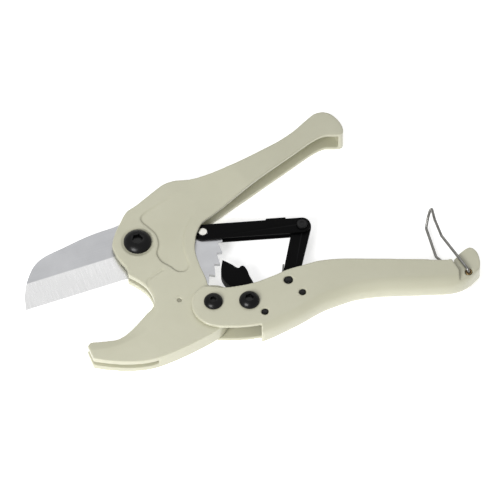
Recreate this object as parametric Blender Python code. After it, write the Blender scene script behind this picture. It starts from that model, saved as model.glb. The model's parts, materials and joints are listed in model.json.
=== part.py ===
"""Ratchet pipe cutter for plastic pipe up to 38 mm, lying on its side.

Metres in Blender, millimetres in this file's helpers. +Z is the tool's
thickness, the blade pivot's axis is the Z axis, and Z = 0 is the surface the
tool lies on. +X runs along the lower handle and +Y towards the upper handle.
"""
import math

import bpy
import bmesh
import numpy as np
from mathutils import Vector

MM = 0.001

# ---- driving dimensions, mm -------------------------------------------------
HANDLE_W = 14.0            # both handles, across Z
MID = HANDLE_W / 2.0       # mid-plane of the tool
HEAD_W = 9.4               # thickness of the head and hook
WALL = 2.0                 # cast wall
SLOT_W = 3.2               # blade slot through the head and hook
LINK_CAVITY_W = 5.4        # room for the retracting link inside the head
CHANNEL_W = 10.0           # inner width of both handle channels
GAP = 0.3                  # running gap between neighbouring pieces

PIVOT = (0.0, 0.0)         # blade pivot
HINGE = (37.95, -36.7)     # lower handle on the head
PAWL_AT = (55.9, -36.0)    # pawl on the lower handle
LINK_AT = (75.35, -23.6)   # lower link on the lower handle
SPRING_STOP = (82.4, -30.7)
PAWL_PIN = (63.7, -42.2)
STOP_AT = (21.0, -34.1)    # blade stop pin in the head
RIVET_AT = (32.55, 7.4)    # upper link on the blade tail
ELBOW_AT = (82.2, 11.6)    # upper link to lower link
BAIL_AT = (165.4, -17.8)   # wire bail in the lower handle's tip

BLADE_T = 2.0
TOOTH_R, ROOT_R = 42.5, 39.8
TOOTH_PITCH = 9.6          # degrees
FIRST_TOOTH = 4.6          # angle of the uppermost tooth tip
TEETH = 6
BOLT_HEAD_R, BOLT_R = 7.0, 4.0
BUSH_R = 5.6
LINK_HALF = 4.3            # half width of the upper link
LINK_T = 1.0               # its plates
WIRE_R = 0.8


# ---- scene ------------------------------------------------------------------
for o in list(bpy.data.objects):
    bpy.data.objects.remove(o, do_unlink=True)

scene = bpy.context.scene


def material(name, rgb, rough, metal):
    m = bpy.data.materials.new(name)
    m.use_nodes = True
    b = m.node_tree.nodes["Principled BSDF"]
    b.inputs["Base Color"].default_value = (rgb[0], rgb[1], rgb[2], 1.0)
    b.inputs["Roughness"].default_value = rough
    b.inputs["Metallic"].default_value = metal
    return m


PAINT = ((0.55, 0.54, 0.40), 0.38, 0.0)
STEEL = ((0.52, 0.52, 0.54), 0.32, 1.0)
BLACK = ((0.020, 0.020, 0.022), 0.42, 0.6)
WIRE = ((0.30, 0.30, 0.30), 0.35, 1.0)
BRIGHT = ((0.75, 0.74, 0.68), 0.28, 1.0)
BRONZE = ((0.60, 0.40, 0.16), 0.40, 1.0)


# ---- outline helpers --------------------------------------------------------
def arc(c, r, a0, a1, n):
    """n + 1 points on a circle, degrees."""
    return [(c[0] + r * math.cos(math.radians(a0 + (a1 - a0) * k / n)),
             c[1] + r * math.sin(math.radians(a0 + (a1 - a0) * k / n)))
            for k in range(n + 1)]


def polar(r, a, c=(0.0, 0.0)):
    return (c[0] + r * math.cos(math.radians(a)),
            c[1] + r * math.sin(math.radians(a)))


def spline_loop(ctrl, sub):
    """Closed Catmull-Rom loop. A third value in a point marks a corner."""
    n = len(ctrl)
    out = []
    for i in range(n):
        q = [ctrl[(i + k) % n] for k in (-1, 0, 1, 2)]
        p = [np.array(v[:2], float) for v in q]
        c1, c2 = len(q[1]) > 2, len(q[2]) > 2
        if c1 and c2:
            out.append(tuple(p[1]))
            continue
        if c1:
            p[0] = 2 * p[1] - p[2]
        if c2:
            p[3] = 2 * p[2] - p[1]
        t = [0.0]
        for a, b in zip(p, p[1:]):
            t.append(t[-1] + max(np.linalg.norm(b - a), 1e-6) ** 0.5)
        for k in range(sub):
            u = t[1] + (t[2] - t[1]) * k / sub
            a1 = p[0] * (t[1] - u) / (t[1] - t[0]) + p[1] * (u - t[0]) / (t[1] - t[0])
            a2 = p[1] * (t[2] - u) / (t[2] - t[1]) + p[2] * (u - t[1]) / (t[2] - t[1])
            a3 = p[2] * (t[3] - u) / (t[3] - t[2]) + p[3] * (u - t[2]) / (t[3] - t[2])
            b1 = a1 * (t[2] - u) / (t[2] - t[0]) + a2 * (u - t[0]) / (t[2] - t[0])
            b2 = a2 * (t[3] - u) / (t[3] - t[1]) + a3 * (u - t[1]) / (t[3] - t[1])
            out.append(tuple(b1 * (t[2] - u) / (t[2] - t[1]) + b2 * (u - t[1]) / (t[2] - t[1])))
    return out


def ccw(loop):
    s = sum(a[0] * b[1] - b[0] * a[1] for a, b in zip(loop, loop[1:] + loop[:1]))
    return loop if s > 0 else loop[::-1]


# ---- solid helpers ----------------------------------------------------------
def finish(name, bm, origin=(0.0, 0.0, 0.0), mat=None, smooth=35.0):
    """Puts a bmesh made in mm into a named object whose origin is given in mm."""
    ox = Vector(origin)
    for v in bm.verts:
        v.co = (v.co - ox) * MM
    me = bpy.data.meshes.new(name)
    bm.normal_update()
    bm.to_mesh(me)
    bm.free()
    ob = bpy.data.objects.new(name, me)
    ob.location = ox * MM
    scene.collection.objects.link(ob)
    if mat is None:
        ob.hide_render = True
        ob.display_type = 'WIRE'
    else:
        me.materials.append(material(name + "_finish", *mat))
        me.shade_smooth()
        me.set_sharp_from_angle(angle=math.radians(smooth))
    return ob


def add_prism(bm, loop, z0, z1):
    loop = ccw([tuple(p[:2]) for p in loop])
    lo = [bm.verts.new((x, y, z0)) for x, y in loop]
    hi = [bm.verts.new((x, y, z1)) for x, y in loop]
    bm.faces.new(lo[::-1])
    bm.faces.new(hi)
    n = len(loop)
    for i in range(n):
        j = (i + 1) % n
        bm.faces.new((lo[i], lo[j], hi[j], hi[i]))


def prism(name, loop, z0, z1, origin=(0, 0, 0), mat=None, smooth=35.0):
    bm = bmesh.new()
    add_prism(bm, loop, z0, z1)
    return finish(name, bm, origin, mat, smooth)


def turned(name, axis, profile, n, mat=None, smooth=35.0, bore=None):
    """A turned piece about a Z line. profile is (r, z) from bottom to top.
    With bore it is a ring, else its ends close on the axis."""
    bm = bmesh.new()
    rows = list(profile)
    if bore is not None:
        rows = rows + [(bore, profile[-1][1]), (bore, profile[0][1])]
    rings = []
    for r, z in rows:
        if r < 1e-6:
            rings.append([bm.verts.new((axis[0], axis[1], z))])
        else:
            rings.append([bm.verts.new((axis[0] + r * math.cos(2 * math.pi * k / n),
                                        axis[1] + r * math.sin(2 * math.pi * k / n), z))
                          for k in range(n)])
    pairs = list(zip(rings, rings[1:]))
    if bore is not None:
        pairs.append((rings[-1], rings[0]))
    for a, b in pairs:
        for k in range(n):
            j = (k + 1) % n
            if len(a) == 1 and len(b) == 1:
                continue
            if len(a) == 1:
                bm.faces.new((a[0], b[j], b[k]))
            elif len(b) == 1:
                bm.faces.new((a[k], a[j], b[0]))
            else:
                bm.faces.new((a[k], a[j], b[j], b[k]))
    if bore is None:
        if len(rings[0]) > 1:
            bm.faces.new(rings[0][::-1])
        if len(rings[-1]) > 1:
            bm.faces.new(rings[-1])
    bmesh.ops.recalc_face_normals(bm, faces=bm.faces)
    return finish(name, bm, (axis[0], axis[1], 0), mat, smooth)


def cylinder(name, axis, r, z0, z1, n=24, mat=None):
    return turned(name, axis, [(r, z0), (r, z1)], n, mat)


def hexagon(c, across, turn=0.0):
    r = across / math.sqrt(3.0)
    return [polar(r, 60 * k + turn, c) for k in range(6)]


def cut(ob, *tools, op='DIFFERENCE'):
    for t in tools:
        m = ob.modifiers.new(op.lower() + "_" + t.name, 'BOOLEAN')
        m.operation = op
        m.object = t
        m.solver = 'EXACT'
    return ob


def wire(name, pts, r, origin=(0, 0, 0), mat=None, res=2):
    """A round wire through the given points, ends capped."""
    cu = bpy.data.curves.new(name, 'CURVE')
    cu.dimensions = '3D'
    cu.bevel_depth = r * MM
    cu.bevel_resolution = res
    cu.use_fill_caps = True
    sp = cu.splines.new('POLY')
    sp.points.add(len(pts) - 1)
    for p, q in zip(sp.points, pts):
        p.co = tuple((a - b) * MM for a, b in zip(q, origin)) + (1.0,)
    sp.use_smooth = True
    ob = bpy.data.objects.new(name, cu)
    ob.location = Vector(origin) * MM
    scene.collection.objects.link(ob)
    cu.materials.append(material(name + "_finish", *mat))
    return ob


def round_path(pts, radius, n):
    """A polyline whose inner corners are replaced by arcs of the given radius."""
    pts = [np.array(p, float) for p in pts]
    out = [pts[0]]
    for a, b, c in zip(pts, pts[1:], pts[2:]):
        u, v = a - b, c - b
        lu, lv = np.linalg.norm(u), np.linalg.norm(v)
        u, v = u / lu, v / lv
        ang = math.acos(max(-1.0, min(1.0, float(u @ v))))
        if ang > math.radians(177):
            out.append(b)
            continue
        r = min(radius, 0.45 * min(lu, lv) * math.tan(ang / 2))
        d = r / math.tan(ang / 2)
        mid = (u + v) / np.linalg.norm(u + v)
        cen = b + mid * (r / math.sin(ang / 2))
        s, e = b + u * d - cen, b + v * d - cen
        sweep = math.pi - ang
        for k in range(n + 1):
            f = k / n
            out.append(cen + (math.sin((1 - f) * sweep) * s + math.sin(f * sweep) * e)
                       / math.sin(sweep))
    out.append(pts[-1])
    return [tuple(p) for p in out]


# ---- outlines ---------------------------------------------------------------
LUG_R = 11.5

FRAME_OUT = [
    (-12.7, -1.65), (-11.3, 5.0), (-8.8, 11.3), (-5.75, 17.7), (-0.55, 22.0),
    (8.55, 30.6), (12.8, 34.2), (18.25, 36.3), (26.75, 37.1), (37.2, 40.4),
    (46.8, 44.6), (56.2, 49.8), (62.75, 53.7), (71.4, 59.1), (78.85, 65.2),
    (84.0, 70.6), (88.6, 74.7), (92.6, 75.7), (96.6, 74.6), (101.2, 69.9),
    (103.0, 65.2), (102.4, 62.7), (99.5, 61.9), (93.7, 61.7), (88.6, 59.2),
    (76.0, 49.1), (57.05, 33.5), (38.1, 16.6), (32.35, 11.7), (29.6, 5.5),
    (28.85, 0.3), (28.85, -5.1), (31.4, -14.2), (34.0, -20.6), (35.3, -25.5, 1),
] + arc(HINGE, LUG_R, 95, -50, 10) + [
    (42.75, -49.3), (40.1, -51.8), (31.2, -57.6), (21.2, -63.2),
    (11.0, -67.9), (4.0, -69.7), (-3.3, -70.3), (-12.0, -70.0), (-21.5, -68.6, 1),
    (-24.65, -60.6, 1), (-23.05, -58.4, 1), (-14.45, -57.6), (-9.65, -56.7),
    (-5.2, -53.7), (-1.4, -49.6), (2.15, -45.1), (4.7, -41.7), (7.2, -38.9),
    (8.4, -35.6), (7.95, -32.4), (5.2, -26.9), (0.8, -22.7), (-4.5, -19.4, 1),
    (-5.45, -15.3), (-9.1, -10.2), (-12.1, -4.5),
]

SLOT_LEFT = [(-80, -80), (10.7, -80), (11.0, -66), (12.6, -40), polar(43.6, -62),
             (6, 0), polar(18, 112), polar(45, 115), (-80, 45)]
SLOT_FAN = [(0, 0)] + arc(PIVOT, 43.6, -62, 83, 24)

CAVITY = arc(PIVOT, 28.2, 80, -8, 10) + [
    (44.0, -6.0), (46.0, 0.0), (70.0, 25.0), (101.5, 52.0), (100.4, 63.0),
    (100.4, 65.2), (99.0, 68.4), (95.4, 72.0), (92.5, 73.0), (89.3, 72.3),
    (85.6, 69.2), (80.3, 63.6), (72.8, 57.4), (63.9, 51.8), (57.3, 47.8),
    (47.8, 42.6), (37.9, 38.3), (33.0, 36.7), (32.0, 45.0), polar(46, 80)]

PANEL = [(17.65, 28.1, 1), (9.0, 21.6), (1.6, 15.2), (1.9, 12.0), (5.5, 8.4), (8.9, 4.6),
         (10.4, -1.0), (9.6, -6.8), (11.6, -11.0), (16.45, -14.5), (20.1, -17.2),
         (23.75, -17.0), (25.85, -13.8), (25.25, -11.0), (23.45, -4.5), (23.15, 2.65),
         (24.95, 9.85), (28.3, 17.0), (31.5, 24.0), (27.5, 30.5, 1)]

HANDLE_OUT = [
    (27.2, -36.7), (28.5, -31.6), (32.95, -27.4), (38.0, -27.4), (43.7, -28.0),
    (57.7, -25.3), (68.7, -20.6), (75.0, -17.4), (82.4, -14.9), (90.0, -12.4),
    (100.35, -11.1), (119.45, -11.1), (138.6, -11.2), (157.3, -11.0), (160.9, -6.9),
    (166.0, -3.2), (169.2, -5.4), (171.1, -11.4), (170.5, -17.5), (168.4, -24.0),
    (163.0, -29.0), (140.0, -32.0), (113.0, -33.0), (100.0, -37.0),
    (90.0, -44.0), (80.0, -50.0), (70.0, -54.5), (62.0, -53.0, 1), (62.0, -49.4, 1),
    (53.85, -50.6), (46.7, -50.9), (40.0, -50.7), (34.5, -49.2), (29.6, -45.0),
    (27.6, -41.0)]

# station: x, crease y where the flat side ends, bottom corner radius
GRIP = [(20.0, -58.0, 0.6), (61.9, -56.0, 0.6), (62.0, -49.0, 4.7), (67.0, -46.4, 5.4),
        (72.2, -43.2, 6.0), (77.5, -40.2, 6.0), (82.4, -37.2, 6.0), (87.6, -33.6, 6.1),
        (92.6, -30.4, 6.2), (97.0, -28.2, 6.4), (101.2, -26.4, 6.6), (107.0, -24.0, 6.8),
        (113.1, -22.5, 7.0), (122.0, -21.4, 7.0), (132.2, -21.0, 7.0), (145.0, -20.4, 7.0),
        (154.5, -20.0, 6.8), (159.0, -19.4, 6.4), (163.0, -18.2, 5.6), (167.0, -15.6, 4.8),
        (173.0, -9.0, 4.0)]

HANDLE_CHANNEL = [(20, -25), (20, -80), (61.7, -80), (61.7, -60), (158.0, -60),
                  (158.0, 5.0), (20, 5.0)]

TIP_POCKET = [(160.9, -40.0), (160.6, -17.5), (156.2, -9.9), (152.5, -4.0), (158.0, 6.0),
              (185.0, 6.0), (185.0, -40.0)]


def blade_outline(sub):
    """Cutting edge, heel, ratchet sector, rivet eye and spine."""
    pts = [(-55.55, -37.4), (-2.6, -18.05), (4.0, -18.4), (11.0, -20.6), (20.0, -26.2)]
    last = FIRST_TOOTH - TOOTH_PITCH * (TEETH - 1)
    pts += [polar(36.5, last - 2.4), polar(ROOT_R + 0.2, last - 2.4)]
    for k in range(TEETH):
        a = last + TOOTH_PITCH * k
        pts += [polar(ROOT_R, a - 0.9), polar(TOOTH_R, a), polar(TOOTH_R - 0.2, a + 0.9)]
        if k < TEETH - 1:
            pts += [polar(ROOT_R + 0.5, a + 0.7 * TOOTH_PITCH)]
    pts += [polar(40.6, FIRST_TOOTH + 5.0)]
    pts += arc(RIVET_AT, 4.4, 0, 120, 5)
    pts += [polar(20.5, 19.0)]
    pts += arc(PIVOT, 15.4, 28, 128, 8)
    tail = [(-12.4, 10.6), (-20.0, 7.7), (-27.65, 4.1), (-37.0, -1.2), (-46.0, -6.25),
            (-50.2, -10.0), (-52.9, -14.4), (-55.3, -22.05), (-56.3, -29.7)]
    for a, b in zip(tail, tail[1:]):
        for k in range(sub):
            pts.append((a[0] + (b[0] - a[0]) * k / sub, a[1] + (b[1] - a[1]) * k / sub))
    pts.append(tail[-1])
    return pts


PAWL = [(42.45, -9.35, 1), (46.6, -11.6), (50.4, -14.0), (51.6, -12.9), (52.9, -12.7),
        (54.9, -15.4), (55.9, -18.4), (57.8, -22.3), (60.2, -28.0), (61.5, -33.0)] \
    + arc(PAWL_AT, 5.8, 10, -180, 8) + [(50.4, -31.6), (49.2, -28.4), (46.4, -24.7),
                                        (43.4, -21.4), (42.0, -18.4), (41.7, -15.4),
                                        (42.0, -12.4)]


# ---- frame: head, hook and upper handle -------------------------------------
def along_handle_envelope(name, half_head, half_grip, u0, u1, over):
    """A slab across Z, thin at the head and full at the grip, flaring between
    u0 and u1 measured from the blade pivot along the upper handle (40 deg)."""
    steps = [(-160.0, half_head), (u0, half_head)]
    for k in range(1, 6):
        f = k / 6.0
        steps.append((u0 + (u1 - u0) * f, half_head + (half_grip - half_head) * (3 * f * f - 2 * f ** 3)))
    steps += [(u1, half_grip), (190.0, half_grip)]
    prof = [(u, MID + h) for u, h in steps] + [(u, MID - h) for u, h in steps[::-1]]
    ca, sa = math.cos(math.radians(40)), math.sin(math.radians(40))
    bm = bmesh.new()
    a = [bm.verts.new((u * ca + over * sa, u * sa - over * ca, z)) for u, z in prof]
    b = [bm.verts.new((u * ca - over * sa, u * sa + over * ca, z)) for u, z in prof]
    bm.faces.new(a)
    bm.faces.new(b[::-1])
    n = len(prof)
    for i in range(n):
        j = (i + 1) % n
        bm.faces.new((a[j], a[i], b[i], b[j]))
    bmesh.ops.recalc_face_normals(bm, faces=bm.faces)
    return finish(name, bm)


frame = prism("main_frame", spline_loop(FRAME_OUT, 2), 0.0, HANDLE_W, mat=PAINT)
cut(frame, along_handle_envelope("cut_frame_thickness", HEAD_W / 2, HANDLE_W / 2 + 0.5, 38.0, 74.0, 160.0),
    op='INTERSECT')
cavity = prism("cut_frame_cavity", CAVITY, -2.0, HANDLE_W + 2.0)
cut(cavity, along_handle_envelope("cut_cavity_thickness", LINK_CAVITY_W / 2, CHANNEL_W / 2, 38.0, 74.0, 150.0),
    op='INTERSECT')
cut(frame, cavity,
    prism("cut_slot_left", SLOT_LEFT, MID - SLOT_W / 2, MID + SLOT_W / 2),
    prism("cut_slot_fan", SLOT_FAN, MID - SLOT_W / 2 - 0.01, MID + SLOT_W / 2 + 0.01),
    cylinder("cut_slot_hub", PIVOT, 16.4, MID - SLOT_W / 2 - 0.02, MID + SLOT_W / 2 + 0.02, 48),
    cylinder("cut_pivot_bore", PIVOT, BOLT_R + GAP, -3.0, 20.0, 32),
    cylinder("cut_pivot_counterbore", PIVOT, 8.0, MID + HEAD_W / 2 - 0.5, 20.0, 40),
    prism("cut_nut_pocket", hexagon(PIVOT, 13.8), -3.0, 3.6),
    cylinder("cut_hinge_bore", HINGE, 3.9, -3.0, 20.0, 24),
    cylinder("cut_stop_bore", STOP_AT, 1.3, -3.0, 20.0, 12),
    prism("cut_panel_near", spline_loop(PANEL, 2), MID + HEAD_W / 2 - 0.6, 20.0),
    prism("cut_panel_far", spline_loop(PANEL, 2), -3.0, MID - HEAD_W / 2 + 0.6))

# ---- blade ------------------------------------------------------------------
blade = prism("blade", blade_outline(1), MID - BLADE_T / 2, MID + BLADE_T / 2,
              origin=(0, 0, MID), mat=STEEL, smooth=25.0)


def bevel_wedge(name, side):
    """Removes one face's grind: 14 mm wide, down to 0.15 mm at the edge."""
    a, b = np.array((-59.5, -38.85)), np.array((-8.0, -20.0))
    d = (b - a) / np.linalg.norm(b - a)
    nrm = np.array((-d[1], d[0]))
    bm = bmesh.new()
    half, edge, wide = BLADE_T / 2, 0.15, 14.0
    sec = [(-1.0, edge - 0.066), (wide, half + 0.001), (wide, half + 3.0), (-1.0, half + 3.0)]
    ends = []
    for p in (a - d * 4.0, b):
        row = []
        for off, z in sec:
            q = p + nrm * off
            row.append(bm.verts.new((q[0], q[1], MID + side * z)))
        ends.append(row)
    bm.faces.new(ends[0])
    bm.faces.new(ends[1][::-1])
    for i in range(4):
        j = (i + 1) % 4
        bm.faces.new((ends[0][j], ends[0][i], ends[1][i], ends[1][j]))
    bmesh.ops.recalc_face_normals(bm, faces=bm.faces)
    return finish(name, bm)


cut(blade, bevel_wedge("cut_bevel_near", 1), bevel_wedge("cut_bevel_far", -1),
    cylinder("cut_blade_bore", PIVOT, BUSH_R + GAP, 0.0, 14.0, 32),
    cylinder("cut_blade_rivet_hole", RIVET_AT, 1.9, 0.0, 14.0, 16))

# ---- blade pivot hardware ---------------------------------------------------
bolt_base = MID + HEAD_W / 2 - 0.5 + 0.25


def button_head(name, at, base, head_r, height, shank_r, end_z, socket, n, mat):
    """Button head screw with a hexagon socket; the head's underside is at base."""
    dome = [(head_r, base), (head_r, base + 0.18 * height)]
    for k in range(1, 6):
        a = math.radians(15 + 60 * k / 5.0)
        dome.append((head_r * math.cos(a) / math.cos(math.radians(15)),
                     base + 0.18 * height + 0.82 * height * (math.sin(a) - math.sin(math.radians(15)))
                     / (math.sin(math.radians(75)) - math.sin(math.radians(15)))))
    prof = [(shank_r, end_z), (shank_r, base)] + dome
    ob = turned(name, at, prof, n, mat)
    cut(ob, prism("cut_socket_" + name, hexagon(at, socket, 15), base + 0.42 * height, base + height + 3))
    return ob


button_head("blade_pivot_bolt", PIVOT, bolt_base, BOLT_HEAD_R, 3.5, BOLT_R, 0.0, 5.0, 32, BLACK)
turned("blade_pivot_bushing", PIVOT, [(BUSH_R, 5.6), (BUSH_R, 8.4)], 32, BRONZE, bore=BOLT_R + GAP)
nut = prism("blade_pivot_nut", hexagon(PIVOT, 13.0), 0.0, 3.3, mat=BLACK)
cut(nut, cylinder("cut_nut_bore", PIVOT, BOLT_R + GAP, -2.0, 6.0, 32))
cylinder("blade_stop_pin", STOP_AT, 1.0, MID - HEAD_W / 2 + 0.05, MID + HEAD_W / 2 + 0.1, 12, PAINT)

# ---- links ------------------------------------------------------------------
ux = np.array(ELBOW_AT) - np.array(RIVET_AT)
LINK_LEN = float(np.linalg.norm(ux))
ux = ux / LINK_LEN
uy = np.array((-ux[1], ux[0]))


def on_link(s, t):
    p = np.array(RIVET_AT) + ux * s + uy * t
    return (float(p[0]), float(p[1]))


def stadium(a, b, ra, rb, n):
    """Outline around two circles joined by straight sides."""
    d = np.array(b) - np.array(a)
    ang = math.degrees(math.atan2(d[1], d[0]))
    return arc(a, ra, ang + 90, ang + 270, n) + arc(b, rb, ang - 90, ang + 90, n)


upper = prism("upper_link", stadium(RIVET_AT, ELBOW_AT, LINK_HALF, LINK_HALF, 8), MID - 2.4, MID + 2.4,
              origin=RIVET_AT + (MID,), mat=BLACK)
bridge = [on_link(32.0, 2.0), on_link(42.0, 2.0), on_link(42.0, LINK_HALF + 0.8), on_link(32.0, LINK_HALF + 0.8)]
cut(upper, prism("join_link_bridge", bridge, MID - 2.4, MID + 2.4), op='UNION')
inner = [on_link(-8, -8), on_link(31.0, -8), on_link(43.0, -8), on_link(60, -8), on_link(60, 8), on_link(43.0, 8),
         on_link(43.0, LINK_HALF - 0.4), on_link(31.0, LINK_HALF - 0.4), on_link(31.0, 8), on_link(-8, 8)]
cut(upper, prism("cut_link_gap", inner, MID - 1.4, MID + 1.4),
    cylinder("cut_link_rivet_hole", RIVET_AT, 2.5, 0.0, 14.0, 16),
    cylinder("cut_link_elbow_hole", ELBOW_AT, 1.9, 0.0, 14.0, 16))

turned("link_rivet", RIVET_AT, [(2.2, MID - 2.5), (2.2, MID - 1.5), (1.6, MID - 1.5), (1.6, MID + 1.5),
                                (2.2, MID + 1.5), (2.2, MID + 2.5)], 16, BRIGHT)
turned("elbow_rivet", ELBOW_AT, [(2.2, MID - 3.6), (2.7, MID - 3.2), (2.7, MID - 2.7), (1.6, MID - 2.7),
                                 (1.6, MID + 2.7), (2.7, MID + 2.7), (2.7, MID + 3.2), (2.2, MID + 3.6)],
       16, BLACK)

lower = prism("lower_link", stadium(LINK_AT, ELBOW_AT, 4.0, 4.6, 8), MID - 1.1, MID + 1.1,
              origin=LINK_AT + (MID,), mat=BLACK)
cut(lower, cylinder("cut_lower_link_pin_hole", LINK_AT, 2.3, 0.0, 14.0, 16),
    cylinder("cut_lower_link_elbow_hole", ELBOW_AT, 3.1, 0.0, 14.0, 20))

# ---- lower handle -----------------------------------------------------------
def grip_solid(name, inset, half, x0, x1, top):
    """A bar along X whose bottom edges are rounded; inset moves it inwards."""
    st = [s for s in GRIP if x0 <= s[0] <= x1]
    bm = bmesh.new()
    rows = []
    for x, yc, r in st:
        r = min(r, half + inset)
        rr = max(r - inset, 0.4)
        pts = [(top, half), (yc, half)]
        for k in range(1, 6):
            a = math.radians(90 * k / 5.0)
            pts.append((yc - rr * math.sin(a), half - rr + rr * math.cos(a)))
        full = [(y, MID + z) for y, z in pts] + [(y, MID - z) for y, z in pts[::-1]]
        if half - rr < 0.02:
            full.pop(len(pts))
        rows.append([bm.verts.new((x, y, z)) for y, z in full])
    m = min(len(r) for r in rows)
    for a, b in zip(rows, rows[1:]):
        bridge_rows(bm, a, b)
    bm.faces.new(rows[0])
    bm.faces.new(rows[-1][::-1])
    bmesh.ops.recalc_face_normals(bm, faces=bm.faces)
    return finish(name, bm)


def bridge_rows(bm, a, b):
    """Joins two closed rows whose counts may differ by the one middle point."""
    if len(a) == len(b):
        n = len(a)
        for i in range(n):
            j = (i + 1) % n
            bm.faces.new((a[i], a[j], b[j], b[i]))
        return
    big, small = (a, b) if len(a) > len(b) else (b, a)
    h = len(big) // 2
    for i in range(h - 1):
        bm.faces.new((big[i], big[i + 1], small[i + 1], small[i]))
    bm.faces.new((big[h - 1], big[h], small[h - 1]))
    for i in range(h, len(big) - 1):
        bm.faces.new((big[i], big[i + 1], small[i], small[i - 1]))
    bm.faces.new((big[-1], big[0], small[0], small[-1]))


handle = prism("lower_handle", spline_loop(HANDLE_OUT, 2), 0.0, HANDLE_W, origin=HINGE + (MID,), mat=PAINT)
cut(handle, grip_solid("cut_grip_outside", 0.0, HANDLE_W / 2, 19.0, 180.0, 30.0), op='INTERSECT')
channel = prism("cut_handle_channel", HANDLE_CHANNEL, -2.0, HANDLE_W + 2.0)
cut(channel, grip_solid("cut_grip_inside", WALL, CHANNEL_W / 2, 19.0, 180.0, 40.0), op='INTERSECT')
cut(handle, channel,
    prism("cut_fork", [(15, 10), (15, -90), (61.7, -90), (61.7, 10)], MID - CHANNEL_W / 2 - 0.01, MID + CHANNEL_W / 2 + 0.01),
    prism("cut_tip_near", TIP_POCKET, HANDLE_W - 2.0, HANDLE_W + 3.0),
    prism("cut_tip_far", TIP_POCKET, -3.0, 2.0),
    cylinder("cut_handle_hinge_bore", HINGE, 2.8, -3.0, 20.0, 20),
    cylinder("cut_handle_pawl_bore", PAWL_AT, 3.3, -3.0, 20.0, 20),
    cylinder("cut_handle_link_bore", LINK_AT, 2.3, -3.0, 20.0, 16),
    cylinder("cut_handle_stop_bore", SPRING_STOP, 1.8, -3.0, 20.0, 12),
    cylinder("cut_handle_spring_bore", PAWL_PIN, 1.8, -3.0, 20.0, 12),
    cylinder("cut_bail_bore_near", BAIL_AT, 1.9, 8.6, 20.0, 16),
    cylinder("cut_bail_bore_far", BAIL_AT, 1.9, -3.0, 5.4, 16))

button_head("handle_pivot_bolt", HINGE, HANDLE_W + 0.25, 4.75, 2.7, 2.5, 0.3, 3.0, 24, BLACK)
turned("handle_pivot_bushing", HINGE, [(3.6, MID - 4.6), (3.6, MID + 4.6)], 24, BRONZE, bore=2.8)
button_head("pawl_bolt", PAWL_AT, HANDLE_W + 0.25, 5.15, 3.1, 3.0, 0.3, 4.0, 24, BLACK)
cylinder("link_pin", LINK_AT, 2.0, 0.2, HANDLE_W + 0.1, 16, BLACK)
cylinder("spring_stop_pin", SPRING_STOP, 1.5, 0.2, HANDLE_W + 0.1, 12, BLACK)
cylinder("pawl_spring_pin", PAWL_PIN, 1.5, 0.2, HANDLE_W + 0.1, 12, BLACK)

# ---- pawl -------------------------------------------------------------------
pawl = prism("pawl", spline_loop(PAWL, 1), MID - 2.8, MID + 2.8, origin=PAWL_AT + (MID,), mat=BLACK)
cut(pawl, cylinder("cut_pawl_bore", PAWL_AT, 3.3, -3.0, 20.0, 20))
turned("pawl_spacer_near", PAWL_AT, [(5.2, MID + 3.1), (5.2, MID + 4.7)], 20, STEEL, bore=3.3)
turned("pawl_spacer_far", PAWL_AT, [(5.2, MID - 4.7), (5.2, MID - 3.1)], 20, STEEL, bore=3.3)


def torsion_spring(name, at, mean_r, wire_r, turns, z0, pitch, a0, leg_in, leg_out, mat):
    """Coil about a Z axis with two straight legs given as point lists."""
    n = 10
    steps = int(turns * n)
    coil = []
    for k in range(steps + 1):
        a = a0 + 360.0 * k / n
        x, y = polar(mean_r, a, at)
        coil.append((x, y, z0 + pitch * k / n))
    return wire(name, list(leg_in) + coil + list(leg_out), wire_r, origin=at + (MID,), mat=mat, res=1)


# torsion spring on the link pin: one leg on the stop pin, one on the lower link
torsion_spring("link_spring", LINK_AT, 3.1, 0.45, 2.25, 8.8, 1.0, 180.0,
               [(LINK_AT[0] - 2.5, LINK_AT[1] + 12.0, 8.8), (LINK_AT[0] - 3.0, LINK_AT[1] + 6.0, 8.8)],
               [(82.2, -28.45, 11.05)], STEEL)
# torsion spring on its pin: one leg on the pawl's back, one on the channel floor
torsion_spring("pawl_spring", PAWL_PIN, 2.35, 0.4, 3.6, 4.6, 0.95, 20.0,
               [(61.9, -27.2, 4.6), (65.2, -38.0, 4.6)],
               [(68.5, -46.4, 7.75)], STEEL)

# ---- wire bail --------------------------------------------------------------
for side, z0, z1 in (("near", 9.0, 11.9), ("far", 2.1, 5.0)):
    turned("bail_bush_" + side, BAIL_AT, [(1.6, z0), (1.6, z1)], 16, BRONZE, bore=1.05)

BAIL_PATH = [BAIL_AT + (9.1,), BAIL_AT + (13.1,), (160.6, -10.4, 13.1), (151.9, 3.2, 12.3), (148.6, 14.5, 9.6),
             (147.0, 23.9, 6.9), (145.4, 19.0, 4.4), (144.4, 14.6, 1.2), (149.3, -2.2, 0.9),
             (160.6, -12.4, 0.9), BAIL_AT + (0.9,), BAIL_AT + (4.9,)]
bail_path = round_path(BAIL_PATH, 1.6, 3)
wire("wire_bail", bail_path, WIRE_R - 0.05, origin=BAIL_AT + (MID,), mat=WIRE, res=2)
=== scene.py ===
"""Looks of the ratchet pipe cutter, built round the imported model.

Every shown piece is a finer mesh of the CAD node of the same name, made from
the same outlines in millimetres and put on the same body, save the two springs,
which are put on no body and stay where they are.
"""
import json
import math

import bpy
import bmesh
import numpy as np
from mathutils import Vector, Matrix


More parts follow.
